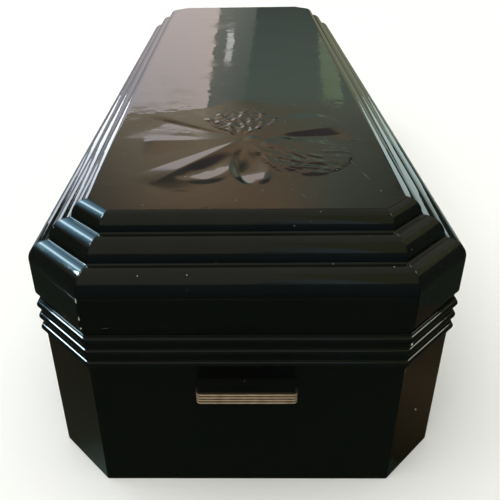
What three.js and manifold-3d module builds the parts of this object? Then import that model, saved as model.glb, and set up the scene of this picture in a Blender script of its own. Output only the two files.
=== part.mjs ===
// A wooden coffin in black gloss lacquer. The plan is a rectangle with 45 degree corners, so every
// board and moulding is mitred at eight corners. The lid has three tiers and lifts off, and its top
// panel carries a flower carved in low relief.
import * as THREE from "three";
import { mergeVertices } from "three/addons/utils/BufferGeometryUtils.js";
import loadManifold from "manifold-3d";

// Driving dimensions in millimetres. +Z is up and the length runs along Y. The origin is under the
// middle of the box. An inset is measured inwards from the upright face of the lid's skirt.
const LENGTH = 2000;
const WIDTH = 724;
const CORNER_CUT = 101;
const JOINT_GAP = 0.3;
const ARC_STEPS = 4;

// Body
const WALL_INSET = 6;
const WALL_THICKNESS = 18;
const BOTTOM_THICKNESS = 18;
const LID_SEAM = 353;

// Triple-bead moulding round the top of the walls
const BEAD_CENTRES = [283, 307.5, 332];
const BEAD_HALF_HEIGHT = 6.5;
const BEAD_PROJECTION = 5.2;
const BEAD_BAND_THICKNESS = 2;
const BEAD_BAND_MARGIN = 4;

// Lid
const SKIRT_THICKNESS = 20;
const SKIRT_BEVEL = 8;
const SHOULDER_FOOT = 415;
const SHOULDER_TOP = 455;
const SHOULDER_RADIUS = 32;
const SHOULDER_DEPTH = 60;
const TIER_INSET = 36;
const TIER_TOP = 488.8;
const TIER_DEPTH = 62;
const TIER_RADIUS = 33;
const PANEL_INSET = 74;
const PANEL_TOP = 516.8;
const PANEL_RADIUS = 27.5;

// Handles
const HANDLE_LENGTH = 164;
const HANDLE_DEPTH = 38;
const HANDLE_HEIGHT = 22.5;
const HANDLE_TOP = 251;
const HANDLE_CORNER_RADIUS = 7;
const HANDLE_SPACING = 600;
const STRIP_RETURN = 14;
const STRIP_THICKNESS = 3;
const STRIP_REEDS = 4;
const STRIP_REED_DEPTH = 1.3;
const STRIP_ARC_STEPS = 2;

// Carved flower: the heart that its petals spread from, and the block that it is carved in
const HEART = new THREE.Vector2(-4, -592);
const RELIEF_CENTRE = new THREE.Vector2(-10, -590);
const RELIEF_WIDTH = 500;
const RELIEF_LENGTH = 500;
const RELIEF_CELL = 10.5;
const RELIEF_SINK = 2.5;
const RELIEF_ROOT = 12;

const lacquer = new THREE.MeshStandardMaterial({ color: 0x0d100e, roughness: 0.12, metalness: 0 });
const brass = new THREE.MeshStandardMaterial({ color: 0xa9854f, roughness: 0.35, metalness: 1 });

const wasm = await loadManifold();
wasm.setup();

// Run that a mitred end loses for each millimetre of inset, at a corner that turns 45 degrees
const MITRE = Math.tan(Math.PI / 8);

// The eight sides in order round the plan, each with its turn about Z, its length at no inset and
// the middle of its outer face. Local +Y of a side points inwards.
const halfWidth = WIDTH / 2;
const halfLength = LENGTH / 2;
const cornerX = halfWidth - CORNER_CUT / 2;
const cornerY = halfLength - CORNER_CUT / 2;
const endRun = WIDTH - 2 * CORNER_CUT;
const sideRun = LENGTH - 2 * CORNER_CUT;
const cornerRun = CORNER_CUT * Math.SQRT2;
const SIDES = [
  { name: "front", run: endRun, x: 0, y: -halfLength },
  { name: "front_right", run: cornerRun, x: cornerX, y: -cornerY },
  { name: "right", run: sideRun, x: halfWidth, y: 0 },
  { name: "back_right", run: cornerRun, x: cornerX, y: cornerY },
  { name: "back", run: endRun, x: 0, y: halfLength },
  { name: "back_left", run: cornerRun, x: -cornerX, y: cornerY },
  { name: "left", run: sideRun, x: -halfWidth, y: 0 },
  { name: "front_left", run: cornerRun, x: -cornerX, y: -cornerY },
];
SIDES.forEach((side, index) => {
  side.turn = (index * Math.PI) / 4;
});

// Sweeps a section, drawn as inset and height, through a list of stations. A station is a point of
// the plan and the way that one millimetre of inset moves it.
function sweep(section, stations, curveSegments) {
  const steps = stations.length - 1;
  const options = { depth: steps, steps, curveSegments, bevelEnabled: false };
  const geometry = new THREE.ExtrudeGeometry(section, options);
  const corners = geometry.attributes.position;
  for (let i = 0; i < corners.count; i += 1) {
    const { at, inward } = stations[Math.round(corners.getZ(i))];
    const inset = corners.getX(i);
    const height = corners.getY(i);
    corners.setXYZ(i, at.x + inward.x * inset, at.y + inward.y * inset, height);
  }
  geometry.computeVertexNormals();
  return geometry;
}

// A length of board or moulding with both ends cut on the mitre
function mitredRail(section, run) {
  const end = run / 2 - JOINT_GAP / 2;
  const stations = [-1, 1].map((way) => ({
    at: new THREE.Vector2(way * end, 0),
    inward: new THREE.Vector2(-way * MITRE, 1),
  }));
  return sweep(section, stations, ARC_STEPS);
}

// One mitred length of the section on each of the eight sides
function ring(name, section) {
  const group = new THREE.Group();
  for (const side of SIDES) {
    const rail = new THREE.Mesh(mitredRail(section, side.run), lacquer);
    rail.name = `${name}_${side.name}`;
    rail.position.set(side.x, side.y, 0);
    rail.rotation.z = side.turn;
    group.add(rail);
  }
  return group;
}

// A closed outline through inset and height pairs
function outline(points) {
  return new THREE.Shape(points.map(([inset, height]) => new THREE.Vector2(inset, height)));
}

// Section of a rail whose outer top edge is a quarter round
function roundedSection({ face, depth, foot, top, radius }) {
  const section = new THREE.Shape();
  section.moveTo(face + depth, foot);
  section.lineTo(face, foot);
  section.lineTo(face, top - radius);
  section.absarc(face + radius, top - radius, radius, Math.PI, Math.PI / 2, true);
  section.lineTo(face + depth, top);
  return section;
}

// The plan of the coffin at an inset
function octagon(inset) {
  const x = halfWidth - inset;
  const y = halfLength - inset;
  const cut = CORNER_CUT - inset * (1 - MITRE);
  return outline([
    [-x + cut, -y], [x - cut, -y], [x, -y + cut], [x, y - cut],
    [x - cut, y], [-x + cut, y], [-x, y - cut], [-x, -y + cut],
  ]);
}

// A mesh's geometry as a solid that can be joined and cut
function toSolid(geometry) {
  const bare = geometry.clone();
  bare.deleteAttribute("normal");
  bare.deleteAttribute("uv");
  const merged = mergeVertices(bare, 1e-4);
  const vertProperties = new Float32Array(merged.attributes.position.array);
  const triVerts = new Uint32Array(merged.index.array);
  return new wasm.Manifold(new wasm.Mesh({ numProp: 3, vertProperties, triVerts }));
}

function toGeometry(solid) {
  const { vertProperties, triVerts } = solid.getMesh();
  const geometry = new THREE.BufferGeometry();
  geometry.setAttribute("position", new THREE.BufferAttribute(vertProperties, 3));
  geometry.setIndex(new THREE.BufferAttribute(triVerts, 1));
  geometry.computeVertexNormals();
  return geometry;
}

const smooth = (from, to, value) => THREE.MathUtils.smoothstep(value, from, to);

// The petals of the flower. Turn is in degrees from +X, reach and half width in millimetres. Each
// petal rises in two flanks to a ridge, placed between -1 and 1 across it. The lip is the height left
// at its outline, and bluntness is the share of its reach over which it widens. Veins are grooves.
const PETALS = [
  { turn: 80, reach: 236, halfWidth: 118, rise: 3, ridge: 0, lip: 0, blunt: 0.55, veins: 3 },
  { turn: 36, reach: 250, halfWidth: 60, rise: 4.5, ridge: 0.35, lip: 0, blunt: 0.7, veins: 2 },
  { turn: 7, reach: 208, halfWidth: 36, rise: 5, ridge: -0.5, lip: 0, blunt: 0.85, veins: 0 },
  { turn: -36, reach: 238, halfWidth: 78, rise: 4.5, ridge: 0.25, lip: 0.8, blunt: 0.78, veins: 1 },
  { turn: -112, reach: 236, halfWidth: 50, rise: 3.5, ridge: 0.3, lip: 0.6, blunt: 0.62, veins: 0 },
  { turn: -137, reach: 232, halfWidth: 56, rise: 6, ridge: 0.62, lip: 0, blunt: 0.86, veins: 0 },
  { turn: -174, reach: 240, halfWidth: 56, rise: 5, ridge: 0.45, lip: 0, blunt: 0.75, veins: 0 },
  { turn: 150, reach: 236, halfWidth: 56, rise: 5, ridge: -0.2, lip: 0, blunt: 0.85, veins: 0 },
  { turn: -88, reach: 226, halfWidth: 38, rise: 7, ridge: 0.2, lip: 2, blunt: 0.82, veins: 0 },
];
const VEIN_DEPTH = 1.4;
const HEART_LIFT = 0.5;
const FULL_GROWTH = 0.5;
const TIP_FALL = 0.78;
const PETAL_FULLNESS = 0.8;
const EDGE_SLOPE = 1.5;

// Distances along and across an arm that leaves the heart at a turn in degrees
function onArm(turn, x, y) {
  const angle = THREE.MathUtils.degToRad(turn);
  const dx = x - HEART.x;
  const dy = y - HEART.y;
  return {
    along: dx * Math.cos(angle) + dy * Math.sin(angle),
    across: dy * Math.cos(angle) - dx * Math.sin(angle),
  };
}

// Height of one petal over the panel. It falls below the panel outside the petal's outline.
function petalHeight({ turn, reach, halfWidth: widest, rise, ridge, lip, blunt, veins }, x, y) {
  const { along, across } = onArm(turn, x, y);
  const share = along / reach;
  if (share <= 0 || share >= 1) return -RELIEF_SINK;
  const spread = Math.pow(Math.sin((Math.PI / 2) * Math.min(1, share / blunt)), PETAL_FULLNESS);
  const tip = Math.max(0, (share - blunt) / (1 - blunt));
  const side = across / (widest * spread * Math.sqrt(1 - tip * tip));
  const flank = side > ridge ? (1 - side) / (1 - ridge) : (1 + side) / (1 + ridge);
  if (flank <= 0) return Math.max(-RELIEF_SINK, lip + EDGE_SLOPE * rise * flank);
  const crown = flank * (EDGE_SLOPE + (1 - EDGE_SLOPE) * flank);
  const growth = THREE.MathUtils.lerp(HEART_LIFT, 1, smooth(0, FULL_GROWTH, share));
  const lift = growth * (1 - smooth(TIP_FALL, 1, share));
  const vein = veins > 0 ? VEIN_DEPTH * Math.pow(Math.cos(Math.PI * veins * side), 2) : 0;
  return lip + (rise - lip - vein) * crown * lift;
}

// Stamens: thin filaments that fan out over the top petal and end in round anthers
const STAMEN_COUNT = 9;
const STAMEN_FAN = { from: 55, to: 125 };
const STAMEN_REACH = { least: 70, spread: 85 };
const SHORT_STAMEN = 0.5;
const ANTHER_RADIUS = 10.5;
const ANTHER_RISE = 5;
const FILAMENT_RISE = 3.5;
const FILAMENT_HALF_WIDTH = 5;
const STAMENS = Array.from({ length: STAMEN_COUNT }, (_, index) => {
  const share = index / (STAMEN_COUNT - 1);
  const quarterTurn = Math.PI / 2;
  const length = index % 2 === 0 ? 1 : SHORT_STAMEN;
  return {
    turn: THREE.MathUtils.lerp(STAMEN_FAN.from, STAMEN_FAN.to, share),
    reach: STAMEN_REACH.least + STAMEN_REACH.spread * length * Math.sin(quarterTurn * (share + 1 / 2)),
  };
});

// A round boss with a domed top, at a distance from its centre. Its rim has this share of its rise.
const BOSS_RIM = 0.55;
function bossHeight(away, radius, rise) {
  const share = away / radius;
  return share < 1 ? rise * THREE.MathUtils.lerp(BOSS_RIM, 1, Math.sqrt(1 - share * share)) : -RELIEF_SINK;
}

function stamenHeight({ turn, reach }, x, y) {
  const { along, across } = onArm(turn, x, y);
  const anther = bossHeight(Math.hypot(along - reach, across), ANTHER_RADIUS, ANTHER_RISE);
  const onFilament = along > 0 && along < reach && Math.abs(across) < FILAMENT_HALF_WIDTH;
  return Math.max(anther, onFilament ? FILAMENT_RISE : -RELIEF_SINK);
}

// Two round buds at the heart of the flower
const BUDS = [
  { x: 55, y: -626, radius: 24, rise: 6 },
  { x: 19, y: -597, radius: 19, rise: 5.5 },
];

// Height of the carving over the panel
function reliefHeight(x, y) {
  return Math.max(
    ...PETALS.map((petal) => petalHeight(petal, x, y)),
    ...STAMENS.map((stamen) => stamenHeight(stamen, x, y)),
    ...BUDS.map((bud) => bossHeight(Math.hypot(x - bud.x, y - bud.y), bud.radius, bud.rise)),
  );
}

// A block set into the panel whose top face follows the flower
function reliefGeometry() {
  const columns = Math.round(RELIEF_WIDTH / RELIEF_CELL);
  const rows = Math.round(RELIEF_LENGTH / RELIEF_CELL);
  const block = new THREE.BoxGeometry(RELIEF_WIDTH, RELIEF_LENGTH, RELIEF_ROOT, columns, rows, 1);
  block.translate(RELIEF_CENTRE.x, RELIEF_CENTRE.y, PANEL_TOP - RELIEF_ROOT / 2);
  const corners = block.attributes.position;
  for (let i = 0; i < corners.count; i += 1) {
    if (corners.getZ(i) > PANEL_TOP - RELIEF_ROOT / 2) {
      corners.setZ(i, PANEL_TOP + reliefHeight(corners.getX(i), corners.getY(i)));
    }
  }
  return block;
}

function bottomBoard() {
  const inset = WALL_INSET + WALL_THICKNESS + JOINT_GAP;
  const options = { depth: BOTTOM_THICKNESS, bevelEnabled: false };
  const board = new THREE.Mesh(new THREE.ExtrudeGeometry(octagon(inset), options), lacquer);
  board.name = "bottom_board";
  return board;
}

function bodyWalls() {
  const inner = WALL_INSET + WALL_THICKNESS;
  const top = LID_SEAM - JOINT_GAP;
  return ring("body_wall", outline([[inner, 0], [WALL_INSET, 0], [WALL_INSET, top], [inner, top]]));
}

// A thin band on the wall with three half-round beads
function beadStrips() {
  const back = WALL_INSET - JOINT_GAP;
  const face = back - BEAD_BAND_THICKNESS;
  const margin = BEAD_HALF_HEIGHT + BEAD_BAND_MARGIN;
  const section = new THREE.Shape();
  section.moveTo(back, BEAD_CENTRES[0] - margin);
  section.lineTo(face, BEAD_CENTRES[0] - margin);
  for (const centre of BEAD_CENTRES) {
    section.lineTo(face, centre - BEAD_HALF_HEIGHT);
    section.absellipse(
      face, centre, BEAD_PROJECTION, BEAD_HALF_HEIGHT, (3 * Math.PI) / 2, Math.PI / 2, true, 0,
    );
  }
  section.lineTo(face, BEAD_CENTRES.at(-1) + margin);
  section.lineTo(back, BEAD_CENTRES.at(-1) + margin);
  return ring("bead_strip", section);
}

function lidSkirt() {
  const top = SHOULDER_FOOT - JOINT_GAP;
  return ring("lid_skirt", outline([
    [SKIRT_THICKNESS, LID_SEAM], [WALL_INSET, LID_SEAM], [0, LID_SEAM + SKIRT_BEVEL],
    [0, top], [SKIRT_THICKNESS, top],
  ]));
}

function lidShoulder() {
  return ring("lid_shoulder", roundedSection({
    face: 0,
    depth: SHOULDER_DEPTH,
    foot: SHOULDER_FOOT,
    top: SHOULDER_TOP,
    radius: SHOULDER_RADIUS,
  }));
}

function lidTier() {
  return ring("lid_tier", roundedSection({
    face: TIER_INSET,
    depth: TIER_DEPTH,
    foot: SHOULDER_TOP + JOINT_GAP,
    top: TIER_TOP,
    radius: TIER_RADIUS,
  }));
}

// The top board: an octagon with a quarter-round edge, cut flat below, with the flower joined on
function lidTopPanel() {
  const foot = TIER_TOP + JOINT_GAP;
  const board = new THREE.ExtrudeGeometry(octagon(PANEL_INSET), {
    depth: PANEL_RADIUS,
    bevelThickness: PANEL_RADIUS,
    bevelSize: PANEL_RADIUS,
    bevelOffset: -PANEL_RADIUS,
    bevelSegments: ARC_STEPS,
  });
  board.translate(0, 0, PANEL_TOP - 2 * PANEL_RADIUS);
  const waste = new THREE.BoxGeometry(WIDTH, LENGTH, LENGTH);
  waste.translate(0, 0, foot - LENGTH / 2);
  const carved = toSolid(board).subtract(toSolid(waste)).add(toSolid(reliefGeometry()));
  const panel = new THREE.Mesh(toGeometry(carved), lacquer);
  panel.name = "lid_top_panel";
  return panel;
}

// Plan points of a strip's face: back along one end, round two corners and back along the other end
function stripStations() {
  const corner = HANDLE_LENGTH / 2 - HANDLE_CORNER_RADIUS;
  const front = -HANDLE_DEPTH + HANDLE_CORNER_RADIUS;
  const stations = [];
  const addStation = (x, y, angle) => {
    const outward = new THREE.Vector2(Math.cos(angle), Math.sin(angle));
    const at = new THREE.Vector2(x, y).addScaledVector(outward, HANDLE_CORNER_RADIUS);
    stations.push({ at, inward: outward.negate() });
  };
  addStation(-corner, -HANDLE_DEPTH + STRIP_RETURN, Math.PI);
  for (const way of [-1, 1]) {
    for (let step = 0; step <= STRIP_ARC_STEPS; step += 1) {
      const share = step / STRIP_ARC_STEPS - (way < 0 ? 1 : 0);
      addStation(way * corner, front, (3 * Math.PI) / 2 + (share * Math.PI) / 2);
    }
  }
  addStation(corner, -HANDLE_DEPTH + STRIP_RETURN, 2 * Math.PI);
  return stations;
}

// Section of the brass strip: a flat back and a row of half-round reeds on its face
function stripSection() {
  const reed = HANDLE_HEIGHT / STRIP_REEDS / 2;
  const foot = HANDLE_TOP - HANDLE_HEIGHT;
  const section = new THREE.Shape();
  section.moveTo(STRIP_THICKNESS, foot);
  section.lineTo(STRIP_REED_DEPTH, foot);
  for (let index = 0; index < STRIP_REEDS; index += 1) {
    const centre = foot + (2 * index + 1) * reed;
    section.absellipse(
      STRIP_REED_DEPTH, centre, STRIP_REED_DEPTH, reed, (3 * Math.PI) / 2, Math.PI / 2, true, 0,
    );
  }
  section.lineTo(STRIP_THICKNESS, HANDLE_TOP);
  return section;
}

// Plan of the handle block, with a rebate round its front for the strip
function handlePlan() {
  const rebate = STRIP_THICKNESS + JOINT_GAP;
  const wide = HANDLE_LENGTH / 2;
  const shoulder = -HANDLE_DEPTH + STRIP_RETURN + JOINT_GAP;
  const radius = HANDLE_CORNER_RADIUS - rebate;
  const corner = wide - HANDLE_CORNER_RADIUS;
  const front = -HANDLE_DEPTH + HANDLE_CORNER_RADIUS;
  const plan = new THREE.Shape();
  plan.moveTo(wide, 0);
  plan.lineTo(-wide, 0);
  plan.lineTo(-wide, shoulder);
  plan.lineTo(-wide + rebate, shoulder);
  plan.absarc(-corner, front, radius, Math.PI, (3 * Math.PI) / 2, false);
  plan.absarc(corner, front, radius, (3 * Math.PI) / 2, 2 * Math.PI, false);
  plan.lineTo(wide - rebate, shoulder);
  plan.lineTo(wide, shoulder);
  return plan;
}

// A lacquered handle block with its brass strip, on a wall that faces local -Y
function handle(name) {
  const options = { depth: HANDLE_HEIGHT, curveSegments: STRIP_ARC_STEPS, bevelEnabled: false };
  const block = new THREE.Mesh(new THREE.ExtrudeGeometry(handlePlan(), options), lacquer);
  block.name = `handle_${name}`;
  block.position.z = HANDLE_TOP - HANDLE_HEIGHT;
  const strip = new THREE.Mesh(sweep(stripSection(), stripStations(), STRIP_ARC_STEPS), brass);
  strip.name = `handle_strip_${name}`;
  return new THREE.Group().add(block, strip);
}

// One handle in the middle of each end and three along each long side
function handles() {
  const group = new THREE.Group();
  const face = WALL_INSET - JOINT_GAP;
  for (const side of SIDES) {
    if (side.run === cornerRun) continue;
    const places = side.run === sideRun ? [-1, 0, 1] : [0];
    const carrier = new THREE.Group();
    carrier.position.set(side.x, side.y, 0);
    carrier.rotation.z = side.turn;
    for (const place of places) {
      const suffix = places.length > 1 ? `_${place + 2}` : "";
      const grip = handle(`${side.name}${suffix}`);
      grip.position.set(place * HANDLE_SPACING, face, 0);
      carrier.add(grip);
    }
    group.add(carrier);
  }
  return group;
}

const body = new THREE.Group().add(bottomBoard(), bodyWalls(), beadStrips(), handles());
const lid = new THREE.Group().add(lidSkirt(), lidShoulder(), lidTier(), lidTopPanel());
const coffin = new THREE.Group().add(body, lid);

export default coffin;
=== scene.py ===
"""A wooden coffin in black gloss lacquer, with a carved lid in three tiers and brass handle strips.

The pieces are built round the packed CAD model, in its frame and in metres.
"""

import math
from collections import namedtuple

import bmesh
import bpy
import numpy as np
from bpy.props import FloatProperty, FloatVectorProperty, IntProperty, PointerProperty
from mathutils import Matrix, Vector


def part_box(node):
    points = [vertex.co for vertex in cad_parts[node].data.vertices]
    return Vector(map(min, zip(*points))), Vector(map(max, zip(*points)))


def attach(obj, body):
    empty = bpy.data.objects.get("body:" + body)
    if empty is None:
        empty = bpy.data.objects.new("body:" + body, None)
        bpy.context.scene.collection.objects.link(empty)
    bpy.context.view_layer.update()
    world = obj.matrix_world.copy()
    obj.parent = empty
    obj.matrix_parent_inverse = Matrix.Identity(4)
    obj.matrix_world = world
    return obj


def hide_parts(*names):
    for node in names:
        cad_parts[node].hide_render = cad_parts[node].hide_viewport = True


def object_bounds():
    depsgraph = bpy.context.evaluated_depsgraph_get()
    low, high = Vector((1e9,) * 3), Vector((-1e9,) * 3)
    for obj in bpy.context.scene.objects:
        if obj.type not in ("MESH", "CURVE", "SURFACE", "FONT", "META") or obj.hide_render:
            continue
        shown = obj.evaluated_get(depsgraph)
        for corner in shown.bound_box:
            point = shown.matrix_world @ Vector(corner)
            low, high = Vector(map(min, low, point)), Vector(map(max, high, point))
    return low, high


bl_info = {
    "name": "Lacquered Coffin",
    "version": (1, 0, 0),
    "blender": (4, 5, 0),
    "location": "3D View > Sidebar > Coffin",
    "description": "Builds the finished pieces of a black lacquered coffin round its CAD model",
    "category": "Add Mesh",
}

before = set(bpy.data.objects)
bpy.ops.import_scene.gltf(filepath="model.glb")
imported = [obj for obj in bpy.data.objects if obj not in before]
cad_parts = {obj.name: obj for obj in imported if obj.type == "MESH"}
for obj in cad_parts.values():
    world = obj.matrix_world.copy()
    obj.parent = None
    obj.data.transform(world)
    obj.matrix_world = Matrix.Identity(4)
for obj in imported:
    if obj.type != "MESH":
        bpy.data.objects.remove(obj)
CAD_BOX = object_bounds()

MM = 0.001
LACQUER_SLOT = "black_lacquered_wood"
BRASS_SLOT = "reeded_brass"

# Names of the finishes
LACQUER = "black_gloss_lacquer"
BRASS = "tarnished_brass"
PINE = "black_stained_pine"
PRIMER = "bare_primer"
RUB = "rubbed_lacquer"

# The plan is a rectangle with 45 degree corners. An inset is measured inwards from the lid's skirt.
SIDES = 8
HALF_LENGTH = -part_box("lid_skirt_front")[0].y
HALF_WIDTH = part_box("lid_skirt_right")[1].x
MITRE = math.tan(math.pi / SIDES)
JOINT_GAP = 0.3 * MM

# Straight steps in the arcs of the mouldings
ROUND_STEPS = 20
COVE_STEPS = 6
SKIRT_STEPS = 8
BEAD_STEPS = 16
REED_STEPS = 10
STRIP_CORNER_STEPS = 8

# An arris that turns by more than this angle in degrees is rounded.
ARRIS_ANGLE = 25
ARRIS_SEGMENTS = 3


def inset_of(node):
    """How far a node's outer face at the foot end lies inside the lid's skirt"""
    return HALF_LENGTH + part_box(node)[0].y


def foot_of(node):
    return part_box(node)[0].z


def top_of(node):
    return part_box(node)[1].z


def length_property(name, description, default):
    return FloatProperty(name=name, description=description, default=default, unit="LENGTH", precision=4)


def linear(hex_colour):
    """Linear red, green, blue and alpha of an sRGB hex colour such as 0D100E"""
    shares = [int(hex_colour[i : i + 2], 16) / 255 for i in (0, 2, 4)]
    return tuple(s / 12.92 if s <= 0.04045 else ((s + 0.055) / 1.055) ** 2.4 for s in shares) + (1.0,)


def colour_property(name, description, hex_colour):
    return FloatVectorProperty(
        name=name,
        description=description,
        default=linear(hex_colour),
        size=4,
        min=0,
        max=1,
        subtype="COLOR",
    )


class CoffinBody(bpy.types.PropertyGroup):
    """Sizes of the box and its beads"""

    corner_cut: length_property("Corner cut", "Length that a corner takes off a side", 101 * MM)
    wall_inset: length_property("Wall inset", "Setback of the walls", inset_of("body_wall_front"))
    wall_thickness: length_property("Wall thickness", "Thickness of the wall boards", 18 * MM)
    wall_top: length_property("Wall top", "Height of the walls", top_of("body_wall_front"))
    board_thickness: length_property("Board thickness", "Bottom board's thickness", top_of("bottom_board"))
    bead_low: length_property("Lowest bead", "Height of the lowest bead's middle", 283 * MM)
    bead_pitch: length_property("Bead pitch", "Distance from bead to bead", 24.5 * MM)
    bead_count: IntProperty(name="Beads", description="Number of beads round the walls", default=3, min=1)
    bead_half_height: length_property("Bead half height", "Half the height of a bead", 6.5 * MM)
    bead_projection: length_property("Bead projection", "How far a bead stands out of its band", 5.2 * MM)
    band_thickness: length_property("Band thickness", "Thickness of the band under the beads", 2 * MM)
    band_margin: length_property("Band margin", "Band left above and below the beads", 4 * MM)
    edge_softness: length_property("Edge softness", "Width of the rounded arrises", 1.1 * MM)


class CoffinLid(bpy.types.PropertyGroup):
    """Sizes of the lid"""

    seam: length_property("Seam", "Height of the lid's lower edge", foot_of("lid_skirt_front"))
    skirt_thickness: length_property("Skirt thickness", "Thickness of the upright skirt", 20 * MM)
    skirt_round: length_property("Skirt round", "Height of the rounded lower edge", 8 * MM)
    shoulder_foot: length_property("Shoulder foot", "Foot of the big round", foot_of("lid_shoulder_front"))
    shoulder_top: length_property("Shoulder top", "Top of the big round", top_of("lid_shoulder_front"))
    shoulder_depth: length_property("Shoulder depth", "Width of the shoulder rail", 60 * MM)
    shoulder_radius: length_property("Shoulder radius", "Radius of the big round", 32 * MM)
    tier_inset: length_property("Tier inset", "Setback of the middle tier", inset_of("lid_tier_front"))
    tier_foot: length_property("Tier foot", "Underside of the middle tier", foot_of("lid_tier_front"))
    tier_top: length_property("Tier top", "Top of the middle tier", top_of("lid_tier_front"))
    tier_depth: length_property("Tier depth", "Width of the tier rail", 62 * MM)
    tier_radius: length_property("Tier radius", "Radius of the middle tier's round", 33 * MM)
    cove: length_property("Cove", "Radius of the corner between two tiers", 4 * MM)
    panel_inset: length_property("Panel inset", "Setback of the top panel", inset_of("lid_top_panel"))
    panel_foot: length_property("Panel foot", "Underside of the top panel", foot_of("lid_top_panel"))
    panel_top: length_property("Panel top", "Height of the flat top", 516.8 * MM)
    panel_radius: length_property("Panel radius", "Radius of the top panel's round", 27.5 * MM)
    carving_cell: length_property("Carving cell", "Spacing of the carved surface's points", 2.0 * MM)
    carving_softness: length_property("Carving softness", "Reach of the lacquer's rounding", 2.0 * MM)


class CoffinHandle(bpy.types.PropertyGroup):
    """Sizes of the handles"""

    length: length_property("Length", "Length of a handle", 164 * MM)
    depth: length_property("Depth", "How far a handle stands out of the wall", 38 * MM)
    height: length_property("Height", "Height of a handle", 22.5 * MM)
    top: length_property("Top", "Height of a handle's upper face", top_of("handle_front"))
    spacing: length_property("Spacing", "Distance between handles on the long sides", 600 * MM)
    corner_radius: length_property("Corner radius", "Radius of the strip round the corners", 7 * MM)
    strip_return: length_property("Strip return", "Length of strip that turns back at each end", 14 * MM)
    strip_thickness: length_property("Strip thickness", "Thickness of the brass strip", 3 * MM)
    reed_count: IntProperty(name="Reeds", description="Number of reeds on the strip", default=4, min=1)
    reed_depth: length_property("Reed depth", "Depth of the grooves between the reeds", 1.3 * MM)
    strip_softness: length_property("Strip softness", "Width of the strip's rounded arrises", 0.3 * MM)


class CoffinFinish(bpy.types.PropertyGroup):
    """Colours of the finishes"""

    lacquer: colour_property("Lacquer", "Black gloss lacquer", "070A08")
    dust: colour_property("Dust", "Dust and dried specks on the lacquer", "A8A698")
    brass: colour_property("Brass", "Polished crests of the brass reeds", "E0C6A6")
    tarnish: colour_property("Tarnish", "Tarnished brass between the reeds", "5E4834")
    primer: colour_property("Primer", "Pale primer that shows in chips", "D8D6CC")
    rub: colour_property("Rub", "Lacquer greyed by rubs and scratches", "6E6C66")
    # The board colour also darkens the brass strip's upward faces.
    board: colour_property("Board", "Black stain of the bottom board, and grime on the brass", "15130F")


class CoffinStage(bpy.types.PropertyGroup):
    """Floor, light and camera"""

    floor: colour_property("Floor", "Pale studio floor", "FAFAF9")
    backdrop: colour_property("Backdrop", "Pale studio wall", "FFFFFF")
    key_strength: FloatProperty(
        name="Key light",
        description="Strength of the overhead light",
        default=2.6,
        min=0,
    )
    lens: FloatProperty(
        name="Lens",
        description="Focal length on a 36 mm sensor",
        default=44.06,
        unit="CAMERA",
    )


GROUPS = {
    "coffin_body": CoffinBody,
    "coffin_lid": CoffinLid,
    "coffin_handle": CoffinHandle,
    "coffin_finish": CoffinFinish,
    "coffin_stage": CoffinStage,
}


# Geometry shared by the pieces

Side = namedtuple("Side", "name run place")


def plan_sides(body):
    """The eight sides in order round the plan, each with its run at no inset and its place"""
    cut = body.corner_cut
    corner_x = HALF_WIDTH - cut / 2
    corner_y = HALF_LENGTH - cut / 2
    end_run = 2 * (HALF_WIDTH - cut)
    side_run = 2 * (HALF_LENGTH - cut)
    corner_run = cut * math.sqrt(2)
    rows = (
        ("front", end_run, 0, -HALF_LENGTH),
        ("front_right", corner_run, corner_x, -corner_y),
        ("right", side_run, HALF_WIDTH, 0),
        ("back_right", corner_run, corner_x, corner_y),
        ("back", end_run, 0, HALF_LENGTH),
        ("back_left", corner_run, -corner_x, corner_y),
        ("left", side_run, -HALF_WIDTH, 0),
        ("front_left", corner_run, -corner_x, -corner_y),
    )
    sides = []
    for index, (name, run, x, y) in enumerate(rows):
        turn = index * 2 * math.pi / SIDES
        place = Matrix.Translation((x, y, 0)) @ Matrix.Rotation(turn, 4, "Z")
        sides.append(Side(name, run, place))
    return sides


def octagon(body, inset):
    """Corners of the plan at an inset, from the left end of the front"""
    x = HALF_WIDTH - inset
    y = HALF_LENGTH - inset
    cut = body.corner_cut - inset * (1 - MITRE)
    return [
        (cut - x, -y),
        (x - cut, -y),
        (x, cut - y),
        (x, y - cut),
        (x - cut, y),
        (cut - x, y),
        (-x, y - cut),
        (-x, cut - y),
    ]


def arc(centre, radii, start, end, steps):
    """Points on an ellipse from one angle to another, in degrees"""
    angles = [math.radians(start + (end - start) * i / steps) for i in range(steps + 1)]
    return [(centre[0] + radii[0] * math.cos(a), centre[1] + radii[1] * math.sin(a)) for a in angles]


def round_topped(face, depth, foot, top, radius, next_face, cove):
    """Section of a rail with a quarter-round edge, and a cove in the corner under the next tier's face"""
    buried = next_face + JOINT_GAP
    points = [(face + depth, foot), (face, foot)]
    points += arc((face + radius, top - radius), (radius, radius), 180, 90, ROUND_STEPS)
    points += arc((buried - cove, top + cove), (cove, cove), 270, 360, COVE_STEPS)
    points += [(buried + cove, top + cove), (buried + cove, top)]
    return points + [(face + depth, top)]


def ring_faces(count, first=0):
    """Faces between a ring of points and the ring that follows it"""
    faces = []
    for i in range(count):
        here = first + i
        after = first + (i + 1) % count
        faces.append((here, after, after + count, here + count))
    return faces


def prism(plan, foot, top):
    """Vertices and faces of a plan carried up from its foot to its top"""
    count = len(plan)
    vertices = [(x, y, z) for z in (foot, top) for x, y in plan]
    faces = ring_faces(count) + [tuple(range(count)), tuple(range(count, 2 * count))]
    return vertices, faces


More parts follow.
